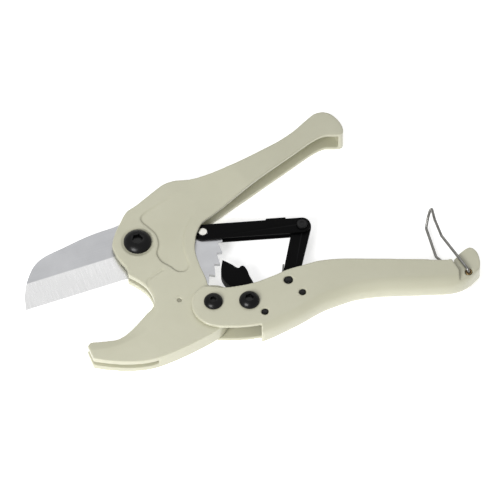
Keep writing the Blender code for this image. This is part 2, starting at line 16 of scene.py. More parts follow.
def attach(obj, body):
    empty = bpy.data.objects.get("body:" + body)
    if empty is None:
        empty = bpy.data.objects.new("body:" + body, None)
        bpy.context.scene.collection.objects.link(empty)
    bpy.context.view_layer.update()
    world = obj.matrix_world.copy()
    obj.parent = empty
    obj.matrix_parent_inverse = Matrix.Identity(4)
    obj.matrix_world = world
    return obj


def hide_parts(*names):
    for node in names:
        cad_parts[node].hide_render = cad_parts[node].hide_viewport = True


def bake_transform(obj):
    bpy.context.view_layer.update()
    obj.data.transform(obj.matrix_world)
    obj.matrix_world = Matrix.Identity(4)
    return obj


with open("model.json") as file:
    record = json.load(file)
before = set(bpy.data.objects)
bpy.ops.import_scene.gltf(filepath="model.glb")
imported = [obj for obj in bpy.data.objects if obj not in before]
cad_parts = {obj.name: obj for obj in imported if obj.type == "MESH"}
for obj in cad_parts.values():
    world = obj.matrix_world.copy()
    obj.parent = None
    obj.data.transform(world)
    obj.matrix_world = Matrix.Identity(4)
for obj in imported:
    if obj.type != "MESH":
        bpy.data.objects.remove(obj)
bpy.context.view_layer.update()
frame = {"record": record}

MM = 0.001

# ---- driving dimensions, mm -------------------------------------------------
HANDLE_W = 14.0            # both handles, across Z
MID = HANDLE_W / 2.0       # mid-plane of the tool
HEAD_W = 9.4               # thickness of the head and hook
WALL = 2.0                 # cast wall
SLOT_W = 3.2               # blade slot through the head and hook
LINK_CAVITY_W = 5.4        # room for the retracting link inside the head
CHANNEL_W = 10.0           # inner width of both handle channels
GAP = 0.3                  # running gap between neighbouring pieces

PIVOT = (0.0, 0.0)         # blade pivot
HINGE = (37.95, -36.7)     # lower handle on the head
PAWL_AT = (55.9, -36.0)    # pawl on the lower handle
LINK_AT = (75.35, -23.6)   # lower link on the lower handle
SPRING_STOP = (82.4, -30.7)
PAWL_PIN = (63.7, -42.2)
STOP_AT = (21.0, -34.1)    # blade stop pin in the head
RIVET_AT = (32.55, 7.4)    # upper link on the blade tail
ELBOW_AT = (82.2, 11.6)    # upper link to lower link
BAIL_AT = (165.4, -17.8)   # wire bail in the lower handle's tip

BLADE_T = 2.0
TOOTH_R, ROOT_R = 42.5, 39.8
TOOTH_PITCH = 9.6          # degrees
FIRST_TOOTH = 4.6          # angle of the uppermost tooth tip
TEETH = 6
BOLT_HEAD_R, BOLT_R = 7.0, 4.0
BUSH_R = 5.6
LINK_HALF = 4.3            # half width of the upper link
LINK_T = 1.0               # its plates
WIRE_R = 0.8


# ---- outline helpers --------------------------------------------------------
def arc(c, r, a0, a1, n):
    """n + 1 points on a circle, degrees."""
    return [(c[0] + r * math.cos(math.radians(a0 + (a1 - a0) * k / n)),
             c[1] + r * math.sin(math.radians(a0 + (a1 - a0) * k / n)))
            for k in range(n + 1)]


def polar(r, a, c=(0.0, 0.0)):
    return (c[0] + r * math.cos(math.radians(a)),
            c[1] + r * math.sin(math.radians(a)))


def spline_loop(ctrl, sub):
    """Closed Catmull-Rom loop. A third value in a point marks a corner."""
    n = len(ctrl)
    out = []
    for i in range(n):
        q = [ctrl[(i + k) % n] for k in (-1, 0, 1, 2)]
        p = [np.array(v[:2], float) for v in q]
        c1, c2 = len(q[1]) > 2, len(q[2]) > 2
        if c1 and c2:
            out.append(tuple(p[1]))
            continue
        if c1:
            p[0] = 2 * p[1] - p[2]
        if c2:
            p[3] = 2 * p[2] - p[1]
        t = [0.0]
        for a, b in zip(p, p[1:]):
            t.append(t[-1] + max(np.linalg.norm(b - a), 1e-6) ** 0.5)
        for k in range(sub):
            u = t[1] + (t[2] - t[1]) * k / sub
            a1 = p[0] * (t[1] - u) / (t[1] - t[0]) + p[1] * (u - t[0]) / (t[1] - t[0])
            a2 = p[1] * (t[2] - u) / (t[2] - t[1]) + p[2] * (u - t[1]) / (t[2] - t[1])
            a3 = p[2] * (t[3] - u) / (t[3] - t[2]) + p[3] * (u - t[2]) / (t[3] - t[2])
            b1 = a1 * (t[2] - u) / (t[2] - t[0]) + a2 * (u - t[0]) / (t[2] - t[0])
            b2 = a2 * (t[3] - u) / (t[3] - t[1]) + a3 * (u - t[1]) / (t[3] - t[1])
            out.append(tuple(b1 * (t[2] - u) / (t[2] - t[1]) + b2 * (u - t[1]) / (t[2] - t[1])))
    return out


def ccw(loop):
    s = sum(a[0] * b[1] - b[0] * a[1] for a, b in zip(loop, loop[1:] + loop[:1]))
    return loop if s > 0 else loop[::-1]


def round_path(pts, radius, n):
    """A polyline whose inner corners are replaced by arcs of the given radius."""
    pts = [np.array(p, float) for p in pts]
    out = [pts[0]]
    for a, b, c in zip(pts, pts[1:], pts[2:]):
        u, v = a - b, c - b
        lu, lv = np.linalg.norm(u), np.linalg.norm(v)
        u, v = u / lu, v / lv
        ang = math.acos(max(-1.0, min(1.0, float(u @ v))))
        if ang > math.radians(177):
            out.append(b)
            continue
        r = min(radius, 0.45 * min(lu, lv) * math.tan(ang / 2))
        d = r / math.tan(ang / 2)
        mid = (u + v) / np.linalg.norm(u + v)
        cen = b + mid * (r / math.sin(ang / 2))
        s, e = b + u * d - cen, b + v * d - cen
        sweep = math.pi - ang
        for k in range(n + 1):
            f = k / n
            out.append(cen + (math.sin((1 - f) * sweep) * s + math.sin(f * sweep) * e)
                       / math.sin(sweep))
    out.append(pts[-1])
    return [tuple(p) for p in out]


# ---- outlines ---------------------------------------------------------------
LUG_R = 11.5

FRAME_OUT = [
    (-12.7, -1.65), (-11.3, 5.0), (-8.8, 11.3), (-5.75, 17.7), (-0.55, 22.0),
    (8.55, 30.6), (12.8, 34.2), (18.25, 36.3), (26.75, 37.1), (37.2, 40.4),
    (46.8, 44.6), (56.2, 49.8), (62.75, 53.7), (71.4, 59.1), (78.85, 65.2),
    (84.0, 70.6), (88.6, 74.7), (92.6, 75.7), (96.6, 74.6), (101.2, 69.9),
    (103.0, 65.2), (102.4, 62.7), (99.5, 61.9), (93.7, 61.7), (88.6, 59.2),
    (76.0, 49.1), (57.05, 33.5), (38.1, 16.6), (32.35, 11.7), (29.6, 5.5),
    (28.85, 0.3), (28.85, -5.1), (31.4, -14.2), (34.0, -20.6), (35.3, -25.5, 1),
] + arc(HINGE, LUG_R, 95, -50, 10) + [
    (42.75, -49.3), (40.1, -51.8), (31.2, -57.6), (21.2, -63.2),
    (11.0, -67.9), (4.0, -69.7), (-3.3, -70.3), (-12.0, -70.0), (-21.5, -68.6, 1),
    (-24.65, -60.6, 1), (-23.05, -58.4, 1), (-14.45, -57.6), (-9.65, -56.7),
    (-5.2, -53.7), (-1.4, -49.6), (2.15, -45.1), (4.7, -41.7), (7.2, -38.9),
    (8.4, -35.6), (7.95, -32.4), (5.2, -26.9), (0.8, -22.7), (-4.5, -19.4, 1),
    (-5.45, -15.3), (-9.1, -10.2), (-12.1, -4.5),
]

SLOT_LEFT = [(-80, -80), (10.7, -80), (11.0, -66), (12.6, -40), polar(43.6, -62),
             (6, 0), polar(18, 112), polar(45, 115), (-80, 45)]
SLOT_FAN = [(0, 0)] + arc(PIVOT, 43.6, -62, 83, 24)

CAVITY = arc(PIVOT, 28.2, 80, -8, 10) + [
    (44.0, -6.0), (46.0, 0.0), (70.0, 25.0), (101.5, 52.0), (100.4, 63.0),
    (100.4, 65.2), (99.0, 68.4), (95.4, 72.0), (92.5, 73.0), (89.3, 72.3),
    (85.6, 69.2), (80.3, 63.6), (72.8, 57.4), (63.9, 51.8), (57.3, 47.8),
    (47.8, 42.6), (37.9, 38.3), (33.0, 36.7), (32.0, 45.0), polar(46, 80)]

PANEL = [(17.65, 28.1, 1), (9.0, 21.6), (1.6, 15.2), (1.9, 12.0), (5.5, 8.4), (8.9, 4.6),
         (10.4, -1.0), (9.6, -6.8), (11.6, -11.0), (16.45, -14.5), (20.1, -17.2),
         (23.75, -17.0), (25.85, -13.8), (25.25, -11.0), (23.45, -4.5), (23.15, 2.65),
         (24.95, 9.85), (28.3, 17.0), (31.5, 24.0), (27.5, 30.5, 1)]

HANDLE_OUT = [
    (27.2, -36.7), (28.5, -31.6), (32.95, -27.4), (38.0, -27.4), (43.7, -28.0),
    (57.7, -25.3), (68.7, -20.6), (75.0, -17.4), (82.4, -14.9), (90.0, -12.4),
    (100.35, -11.1), (119.45, -11.1), (138.6, -11.2), (157.3, -11.0), (160.9, -6.9),
    (166.0, -3.2), (169.2, -5.4), (171.1, -11.4), (170.5, -17.5), (168.4, -24.0),
    (163.0, -29.0), (140.0, -32.0), (113.0, -33.0), (100.0, -37.0),
    (90.0, -44.0), (80.0, -50.0), (70.0, -54.5), (62.0, -53.0, 1), (62.0, -49.4, 1),
    (53.85, -50.6), (46.7, -50.9), (40.0, -50.7), (34.5, -49.2), (29.6, -45.0),
    (27.6, -41.0)]

# station: x, crease y where the flat side ends, bottom corner radius
GRIP = [(20.0, -58.0, 0.6), (61.9, -56.0, 0.6), (62.0, -49.0, 4.7), (67.0, -46.4, 5.4),
        (72.2, -43.2, 6.0), (77.5, -40.2, 6.0), (82.4, -37.2, 6.0), (87.6, -33.6, 6.1),
        (92.6, -30.4, 6.2), (97.0, -28.2, 6.4), (101.2, -26.4, 6.6), (107.0, -24.0, 6.8),
        (113.1, -22.5, 7.0), (122.0, -21.4, 7.0), (132.2, -21.0, 7.0), (145.0, -20.4, 7.0),
        (154.5, -20.0, 6.8), (159.0, -19.4, 6.4), (163.0, -18.2, 5.6), (167.0, -15.6, 4.8),
        (173.0, -9.0, 4.0)]

HANDLE_CHANNEL = [(20, -25), (20, -80), (61.7, -80), (61.7, -60), (158.0, -60),
                  (158.0, 5.0), (20, 5.0)]

TIP_POCKET = [(160.9, -40.0), (160.6, -17.5), (156.2, -9.9), (152.5, -4.0), (158.0, 6.0),
              (185.0, 6.0), (185.0, -40.0)]


PAWL = [(42.45, -9.35, 1), (46.6, -11.6), (50.4, -14.0), (51.6, -12.9), (52.9, -12.7),
        (54.9, -15.4), (55.9, -18.4), (57.8, -22.3), (60.2, -28.0), (61.5, -33.0)] \
    + arc(PAWL_AT, 5.8, 10, -180, 8) + [(50.4, -31.6), (49.2, -28.4), (46.4, -24.7),
                                        (43.4, -21.4), (42.0, -18.4), (41.7, -15.4),
                                        (42.0, -12.4)]

# ---- mesh helpers -----------------------------------------------------------
scene = bpy.context.scene


def from_bm(name, bm):
    """A bmesh in mm becomes an object in metres, in the row frame."""
    for v in bm.verts:
        v.co = v.co * MM
    me = bpy.data.meshes.new(name)
    bm.normal_update()
    bm.to_mesh(me)
    bm.free()
    ob = bpy.data.objects.new(name, me)
    scene.collection.objects.link(ob)
    return ob


def prism(name, loop, z0, z1):
    bm = bmesh.new()
    loop = ccw([tuple(p[:2]) for p in loop])
    lo = [bm.verts.new((x, y, z0)) for x, y in loop]
    hi = [bm.verts.new((x, y, z1)) for x, y in loop]
    bm.faces.new(lo[::-1])
    bm.faces.new(hi)
    n = len(loop)
    for i in range(n):
        j = (i + 1) % n
        bm.faces.new((lo[i], lo[j], hi[j], hi[i]))
    return from_bm(name, bm)


def loft(name, sections, closed_ends=True):
    """Bridges rows of points with equal counts; each row is a closed section."""
    bm = bmesh.new()
    rows = [[bm.verts.new(p) for p in s] for s in sections]
    for a, b in zip(rows, rows[1:]):
        n = len(a)
        for i in range(n):
            j = (i + 1) % n
            bm.faces.new((a[i], a[j], b[j], b[i]))
    if closed_ends:
        bm.faces.new(rows[0][::-1])
        bm.faces.new(rows[-1])
    bmesh.ops.recalc_face_normals(bm, faces=bm.faces)
    return from_bm(name, bm)


def turned(name, axis, profile, n, bore=None):
    bm = bmesh.new()
    rows = list(profile)
    if bore is not None:
        rows = rows + [(bore, profile[-1][1]), (bore, profile[0][1])]
    rings = []
    for r, z in rows:
        if r < 1e-6:
            rings.append([bm.verts.new((axis[0], axis[1], z))])
        else:
            rings.append([bm.verts.new((axis[0] + r * math.cos(2 * math.pi * k / n),
                                        axis[1] + r * math.sin(2 * math.pi * k / n), z))
                          for k in range(n)])
    pairs = list(zip(rings, rings[1:]))
    if bore is not None:
        pairs.append((rings[-1], rings[0]))
    for a, b in pairs:
        for k in range(n):
            j = (k + 1) % n
            if len(a) == 1:
                bm.faces.new((a[0], b[j], b[k]))
            elif len(b) == 1:
                bm.faces.new((a[k], a[j], b[0]))
            else:
                bm.faces.new((a[k], a[j], b[j], b[k]))
    if bore is None:
        if len(rings[0]) > 1:
            bm.faces.new(rings[0][::-1])
        if len(rings[-1]) > 1:
            bm.faces.new(rings[-1])
    bmesh.ops.recalc_face_normals(bm, faces=bm.faces)
    return from_bm(name, bm)


def cylinder(name, axis, r, z0, z1, n=48):
    return turned(name, axis, [(r, z0), (r, z1)], n)


def hexagon(c, across, turn=0.0):
    r = across / math.sqrt(3.0)
    return [polar(r, 60 * k + turn, c) for k in range(6)]


def bake_modifiers(ob):
    bpy.context.view_layer.update()
    dg = bpy.context.evaluated_depsgraph_get()
    me = bpy.data.meshes.new_from_object(ob.evaluated_get(dg))
    old = ob.data
    ob.modifiers.clear()
    ob.data = me
    me.name = ob.name
    bpy.data.meshes.remove(old)
    return ob


def boolean(ob, *tools, op='DIFFERENCE'):
    """Applies the tools one after another and removes them."""
    for t in tools:
        m = ob.modifiers.new("b", 'BOOLEAN')
        m.operation = op
        m.object = t
        m.solver = 'EXACT'
        bake_modifiers(ob)
        bpy.data.objects.remove(t, do_unlink=True)
    return ob


def bevel(ob, width, segments=3, angle=32.0):
    m = ob.modifiers.new("edge", 'BEVEL')
    m.width = width * MM
    m.segments = segments
    m.limit_method = 'ANGLE'
    m.angle_limit = math.radians(angle)
    m.use_clamp_overlap = False
    m.harden_normals = False
    return bake_modifiers(ob)


def cast(ob, voxel, rounds, factor=0.5):
    """Turns a sharp solid into one even closed skin with softened edges."""
    m = ob.modifiers.new("skin", 'REMESH')
    m.mode = 'VOXEL'
    m.voxel_size = voxel * MM
    m.adaptivity = 0.0
    m.use_smooth_shade = True
    s = ob.modifiers.new("soft", 'SMOOTH')
    s.factor = factor
    s.iterations = rounds
    return bake_modifiers(ob)


def smooth(ob, angle=None):
    ob.data.shade_smooth()
    if angle is not None:
        ob.data.set_sharp_from_angle(angle=math.radians(angle))
    return ob


def tube(name, pts, r, sides):
    """A round wire along the points with hemispherical ends, as one closed mesh."""
    P = [np.array(p, float) for p in pts]
    tang = []
    for i in range(len(P)):
        a = P[max(i - 1, 0)]
        b = P[min(i + 1, len(P) - 1)]
        t = b - a
        tang.append(t / np.linalg.norm(t))
    ref = np.array((0.0, 0.0, 1.0)) if abs(tang[0][2]) < 0.9 else np.array((1.0, 0.0, 0.0))
    u = np.cross(tang[0], ref)
    u /= np.linalg.norm(u)
    frames = []
    for t in tang:
        u = u - t * (u @ t)
        u /= np.linalg.norm(u)
        frames.append((u.copy(), np.cross(t, u)))
    rows = []
    for k in range(4, 0, -1):
        a = math.radians(90 * k / 5.0)
        rows.append((P[0] - tang[0] * r * math.sin(a) * 0.6, frames[0], r * math.cos(a)))
    for p, f in zip(P, frames):
        rows.append((p, f, r))
    for k in range(1, 5):
        a = math.radians(90 * k / 5.0)
        rows.append((P[-1] + tang[-1] * r * math.sin(a) * 0.6, frames[-1], r * math.cos(a)))
    secs = []
    for c, (e1, e2), rr in rows:
        secs.append([tuple(c + (e1 * math.cos(2 * math.pi * k / sides) + e2 * math.sin(2 * math.pi * k / sides)) * rr)
                     for k in range(sides)])
    return loft(name, secs)


# ---- materials --------------------------------------------------------------
def new_material(name):
    m = bpy.data.materials.new(name)
    m.use_nodes = True
    nt = m.node_tree
    return m, nt, nt.nodes["Principled BSDF"]


def node(nt, kind, **values):
    n = nt.nodes.new(kind)
    for k, v in values.items():
        if k in n.inputs:
            n.inputs[k].default_value = v
        else:
            setattr(n, k, v)
    return n


def mapped(nt, scale, rotation=(0.0, 0.0, 0.0)):
    tc = node(nt, 'ShaderNodeTexCoord')
    mp = node(nt, 'ShaderNodeMapping')
    mp.inputs['Scale'].default_value = scale
    mp.inputs['Rotation'].default_value = rotation
    nt.links.new(tc.outputs['Object'], mp.inputs['Vector'])
    return mp.outputs['Vector']


def noise(nt, vector, scale, detail=3.0, rough=0.5):
    n = node(nt, 'ShaderNodeTexNoise')
    n.inputs['Scale'].default_value = scale
    n.inputs['Detail'].default_value = detail
    n.inputs['Roughness'].default_value = rough
    nt.links.new(vector, n.inputs['Vector'])
    return n.outputs['Fac']


def ramp(nt, fac, stops):
    r = node(nt, 'ShaderNodeValToRGB')
    e = r.color_ramp.elements
    e[0].position, e[0].color = stops[0][0], tuple(stops[0][1]) + (1.0,)
    e[1].position, e[1].color = stops[-1][0], tuple(stops[-1][1]) + (1.0,)
    for p, c in stops[1:-1]:
        x = e.new(p)
        x.color = tuple(c) + (1.0,)
    nt.links.new(fac, r.inputs['Fac'])
    return r.outputs['Color']


def to_range(nt, fac, lo, hi, a=0.0, b=1.0):
    r = node(nt, 'ShaderNodeMapRange')
    r.inputs['From Min'].default_value = a
    r.inputs['From Max'].default_value = b
    r.inputs['To Min'].default_value = lo
    r.inputs['To Max'].default_value = hi
    nt.links.new(fac, r.inputs['Value'])
    return r.outputs['Result']


def mix_color(nt, fac, a, b, mode='MIX'):
    m = node(nt, 'ShaderNodeMix')
    m.data_type = 'RGBA'
    m.blend_type = mode
    for src, at in ((fac, 0), (a, 6), (b, 7)):
        if isinstance(src, (tuple, list)):
            m.inputs[at].default_value = tuple(src) + (1.0,) if len(src) == 3 else tuple(src)
        elif isinstance(src, (int, float)):
            m.inputs[at].default_value = src
        else:
            nt.links.new(src, m.inputs[at])
    return m.outputs[2]


def math_node(nt, op, a, b=None):
    m = node(nt, 'ShaderNodeMath')
    m.operation = op
    for src, at in ((a, 0), (b, 1)):
        if src is None:
            continue
        if isinstance(src, (int, float)):
            m.inputs[at].default_value = src
        else:
            nt.links.new(src, m.inputs[at])
    return m.outputs[0]


def bumped(nt, bsdf, *layers):
    """Stacks bump layers given as (height, strength, distance in mm)."""
    last = None
    for height, strength, dist in layers:
        b = node(nt, 'ShaderNodeBump')
        b.inputs['Strength'].default_value = strength
        b.inputs['Distance'].default_value = dist * MM
        nt.links.new(height, b.inputs['Height'])
        if last is not None:
            nt.links.new(last, b.inputs['Normal'])
        last = b.outputs['Normal']
    nt.links.new(last, bsdf.inputs['Normal'])


def enamel(name, tone, deep, rough_lo, rough_hi):
    """Cream enamel over a die casting: faint waviness, fine orange peel, a
    little darker in the hollows as painted shade, and thinner along the outer edges."""
    m, nt, b = new_material(name)
    v = mapped(nt, (1.0, 1.0, 1.0))
    wide = noise(nt, v, 38.0, 3.0, 0.5)
    mid = noise(nt, v, 260.0, 4.0, 0.55)
    fine = noise(nt, v, 1500.0, 2.0, 0.5)
    col = ramp(nt, wide, [(0.30, deep), (0.72, tone)])
    col = mix_color(nt, to_range(nt, mid, 0.0, 0.10, 0.45, 0.8), col, tuple(c * 0.86 for c in tone))
    geo = node(nt, 'ShaderNodeNewGeometry')
    edge = to_range(nt, geo.outputs['Pointiness'], 0.0, 0.30, 0.515, 0.56)
    # painted shade: concave spots (low pointiness) are mixed towards a dark olive, standing in for the shade in
    # hollows, slots and grooves
    hollow_painted_shade = to_range(nt, geo.outputs['Pointiness'], 0.28, 0.0, 0.43, 0.488)
    col = mix_color(nt, edge, col, (0.74, 0.735, 0.60))
    col = mix_color(nt, hollow_painted_shade, col, (0.20, 0.19, 0.13))
    speck = to_range(nt, noise(nt, v, 700.0, 5.0, 0.7), 0.0, 0.35, 0.73, 0.80)
    col = mix_color(nt, speck, col, (0.30, 0.28, 0.20))
    nt.links.new(col, b.inputs['Base Color'])
    nt.links.new(to_range(nt, mid, rough_lo, rough_hi, 0.3, 0.75), b.inputs['Roughness'])
    b.inputs['Metallic'].default_value = 0.0
    b.inputs['Specular IOR Level'].default_value = 0.5
    b.inputs['Coat Weight'].default_value = 0.35
    b.inputs['Coat Roughness'].default_value = 0.16
    bumped(nt, b, (wide, 0.35, 0.30), (mid, 0.22, 0.10), (fine, 0.10, 0.03))
    return m


def ground_steel(name):
    """Ground sheet steel: grinding lines along the blade, a polished band
    14 mm wide at the cutting edge, and a faint line where the grind begins."""
    m, nt, b = new_material(name)
    a, c = np.array((-59.5, -38.85)), np.array((-8.0, -20.0))
    d = (c - a) / np.linalg.norm(c - a)
    ang = math.atan2(d[1], d[0])
    along = mapped(nt, (1.0, 1.0, 1.0), (0.0, 0.0, -ang))
    brush = node(nt, 'ShaderNodeMapping')
    brush.inputs['Scale'].default_value = (40.0, 2600.0, 900.0)
    nt.links.new(along, brush.inputs['Vector'])
    lines = noise(nt, brush.outputs['Vector'], 1.0, 4.0, 0.65)
    cross = node(nt, 'ShaderNodeMapping')
    cross.inputs['Scale'].default_value = (3600.0, 90.0, 900.0)
    nt.links.new(along, cross.inputs['Vector'])
    grind = noise(nt, cross.outputs['Vector'], 1.0, 4.0, 0.6)
    cloud = noise(nt, mapped(nt, (1.0, 1.0, 1.0)), 55.0, 4.0, 0.55)
    sep = node(nt, 'ShaderNodeSeparateXYZ')
    nt.links.new(along, sep.inputs['Vector'])
    y0 = float(-math.sin(ang) * a[0] + math.cos(ang) * a[1]) * MM
    off = math_node(nt, 'SUBTRACT', sep.outputs['Y'], y0)
    at_bevel = to_range(nt, off, 1.0, 0.0, 0.0136, 0.0142)
    near_tip = to_range(nt, sep.outputs['X'], 1.0, 0.0, 0.0, 0.002)
    at_bevel = math_node(nt, 'MULTIPLY', at_bevel, near_tip)
    col = ramp(nt, cloud, [(0.3, (0.47, 0.475, 0.49)), (0.7, (0.56, 0.565, 0.58))])
    col = mix_color(nt, to_range(nt, lines, 0.0, 0.35, 0.35, 0.75), col, (0.66, 0.665, 0.68))
    col = mix_color(nt, at_bevel, col, (0.76, 0.76, 0.76))
    nt.links.new(col, b.inputs['Base Color'])
    r = to_range(nt, lines, 0.30, 0.44, 0.3, 0.7)
    r2 = to_range(nt, grind, 0.24, 0.36, 0.3, 0.7)
    mr = node(nt, 'ShaderNodeMix')
    mr.data_type = 'FLOAT'
    nt.links.new(at_bevel, mr.inputs[0])
    nt.links.new(r, mr.inputs[2])
    nt.links.new(r2, mr.inputs[3])
    nt.links.new(mr.outputs[0], b.inputs['Roughness'])
    b.inputs['Metallic'].default_value = 1.0
    height = node(nt, 'ShaderNodeMix')
    height.data_type = 'FLOAT'
    nt.links.new(at_bevel, height.inputs[0])
    nt.links.new(lines, height.inputs[2])
    nt.links.new(grind, height.inputs[3])
    bumped(nt, b, (cloud, 0.10, 0.10), (height.outputs[0], 0.16, 0.02))
    return m


def black_oxide(name, tone=(0.003, 0.003, 0.0032), rough=(0.24, 0.38), metal=0.0, gloss=0.28):
    m, nt, b = new_material(name)
    v = mapped(nt, (1.0, 1.0, 1.0))
    wide = noise(nt, v, 120.0, 3.0, 0.5)
    fine = noise(nt, v, 1800.0, 3.0, 0.6)
    geo = node(nt, 'ShaderNodeNewGeometry')
    rub = to_range(nt, geo.outputs['Pointiness'], 0.0, 0.35, 0.53, 0.62)
    col = ramp(nt, wide, [(0.3, tone), (0.7, tuple(c * 1.7 for c in tone))])
    col = mix_color(nt, rub, col, (0.03, 0.03, 0.031))
    nt.links.new(col, b.inputs['Base Color'])
    nt.links.new(to_range(nt, wide, rough[0], rough[1], 0.3, 0.7), b.inputs['Roughness'])
    b.inputs['Metallic'].default_value = metal
    b.inputs['Specular IOR Level'].default_value = gloss
    bumped(nt, b, (wide, 0.10, 0.10), (fine, 0.12, 0.02))
    return m


def bright_metal(name, dark, light, rough, scale, stretch=(1.0, 1.0, 1.0), bump=0.12):
    m, nt, b = new_material(name)
    v = mapped(nt, stretch)
    wide = noise(nt, v, scale, 4.0, 0.6)
    fine = noise(nt, v, scale * 7.0, 3.0, 0.6)
    nt.links.new(ramp(nt, wide, [(0.3, dark), (0.7, light)]), b.inputs['Base Color'])
    nt.links.new(to_range(nt, fine, rough[0], rough[1], 0.3, 0.7), b.inputs['Roughness'])
    b.inputs['Metallic'].default_value = 1.0
    bumped(nt, b, (wide, bump, 0.05), (fine, bump, 0.02))
    return m


MATERIAL = {
    "cast_body": enamel("cream_enamel", (0.565, 0.555, 0.425), (0.535, 0.525, 0.395), 0.30, 0.42),
    "blade_steel": ground_steel("ground_blade_steel"),
    "black_steel": black_oxide("black_oxide"),
    "wire_steel": bright_metal("drawn_wire", (0.24, 0.235, 0.22), (0.36, 0.355, 0.34), (0.24, 0.38), 420.0),
    "bright_steel": bright_metal("bright_zinc", (0.66, 0.655, 0.60), (0.82, 0.81, 0.76), (0.20, 0.32), 380.0),
    "bronze": bright_metal("sintered_bronze", (0.22, 0.15, 0.07), (0.40, 0.28, 0.14), (0.36, 0.52), 1400.0, bump=0.3),
}
LINK_BLACK = black_oxide("black_paint", (0.0015, 0.0015, 0.0016), (0.38, 0.55), 0.0, 0.06)
# painted shade: a darker copy of the cream enamel, given to the stop pin to stand in for the shade in its bore
PIN_PAINTED_SHADE = enamel("shaded_enamel", (0.22, 0.21, 0.15), (0.17, 0.16, 0.11), 0.4, 0.55)
SLOT_OF = {s["node"]: s["material_slot"] for s in frame["record"]["subparts"]}
BODY_OF = {n: b for b, ns in frame["record"]["behaviour"]["bodies"].items() for n in ns}


def place(ob, cad_node, angle=None, finish_or_shade=None, bend=None):
    """Gives the piece its material, hides the CAD node and rides its body; a piece given `bend` is put on no body and
    stays where it is.
    """
    slot = SLOT_OF[cad_node]
    ob.data.materials.clear()
    # the material handed in may be a painted-shade copy, as the stop pin's darker enamel is
    ob.data.materials.append(finish_or_shade or MATERIAL[slot])
    smooth(ob, angle)
    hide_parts(cad_node)
    if bend:
        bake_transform(ob)
    else:
        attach(ob, BODY_OF[cad_node])
    return ob


# ---- frame: head, hook and upper handle -------------------------------------
def across_slab(name, half_head, half_grip, u0, u1, over):
    steps = [(-160.0, half_head), (u0, half_head)]
    for k in range(1, 16):
        f = k / 16.0
        steps.append((u0 + (u1 - u0) * f, half_head + (half_grip - half_head) * (3 * f * f - 2 * f ** 3)))
    steps += [(u1, half_grip), (190.0, half_grip)]
    prof = [(u, MID + h) for u, h in steps] + [(u, MID - h) for u, h in steps[::-1]]
    ca, sa = math.cos(math.radians(40)), math.sin(math.radians(40))
    a = [(u * ca + over * sa, u * sa - over * ca, z) for u, z in prof]
    b = [(u * ca - over * sa, u * sa + over * ca, z) for u, z in prof]
    return loft(name, [a, b])


def facet_cut(name, inner, outer, drop, side, reach=0.8, top=HEAD_W / 2):
    """Takes a sloping band off one face of the head, from the inner line at
    the face down to the outer line, which lies `drop` lower."""
    secs = []
    for k, (i, o) in enumerate(zip(inner, outer)):
        i, o = np.array(i[:2]), np.array(o[:2])
        e = o + (o - i) * reach
        low = top - drop * (1 + reach)
        row = [(i[0], i[1], top + 0.02), (e[0], e[1], low), (e[0], e[1], top + 3.0), (i[0], i[1], top + 3.0)]
        secs.append([(x, y, MID + side * z) for x, y, z in row])
    return loft(name, secs)


def panel_cut(name, side, deep, shallow):
    """A shallow blank panel whose floor rises until it runs out at the top right."""
    loop = spline_loop(PANEL, 6)
    floor, mouth = [], []
    for x, y in loop:
        f = (0.72 * x + 0.69 * y - 3.0) / 29.5
        depth = deep + (shallow - deep) * f
        floor.append((x, y, MID + side * (HEAD_W / 2 - depth)))
        mouth.append((x, y, MID + side * (HEAD_W / 2 + 2.0)))
    return loft(name, [floor, mouth])


SEAT_EDGE = [(8.4, -35.6), (7.2, -38.9), (4.7, -41.7), (2.15, -45.1), (-1.4, -49.6), (-5.2, -53.7),
             (-9.65, -56.7), (-14.45, -57.6), (-19.0, -58.0), (-23.05, -58.4), (-26.0, -59.0)]
SEAT_CREASE = [(8.9, -36.0), (9.4, -40.6), (8.9, -44.3), (7.85, -47.7), (5.0, -51.9), (-0.5, -56.2),
               (-6.5, -59.7), (-12.85, -62.0), (-17.5, -63.0), (-20.85, -63.5), (-26.0, -64.2)]


def open_spline(pts, sub):
    """Catmull-Rom through an open row of points."""
    p = [np.array(q[:2], float) for q in pts]
    p = [2 * p[0] - p[1]] + p + [2 * p[-1] - p[-2]]
    out = []
    for i in range(1, len(p) - 2):
        for k in range(sub):
            t = k / sub
            a = 2 * p[i]
            b = p[i + 1] - p[i - 1]
            c = 2 * p[i - 1] - 5 * p[i] + 4 * p[i + 1] - p[i + 2]
            d = -p[i - 1] + 3 * p[i] - 3 * p[i + 1] + p[i + 2]
            out.append(tuple(0.5 * (a + b * t + c * t * t + d * t ** 3)))
    out.append(tuple(p[-2]))
    return out


NECK_CREASE = open_spline([(12.8, -16.3), (9.6, -18.6), (6.2, -21.6), (5.1, -23.9), (5.7, -26.6), (7.3, -30.0),
                           (8.6, -33.0)], 5)

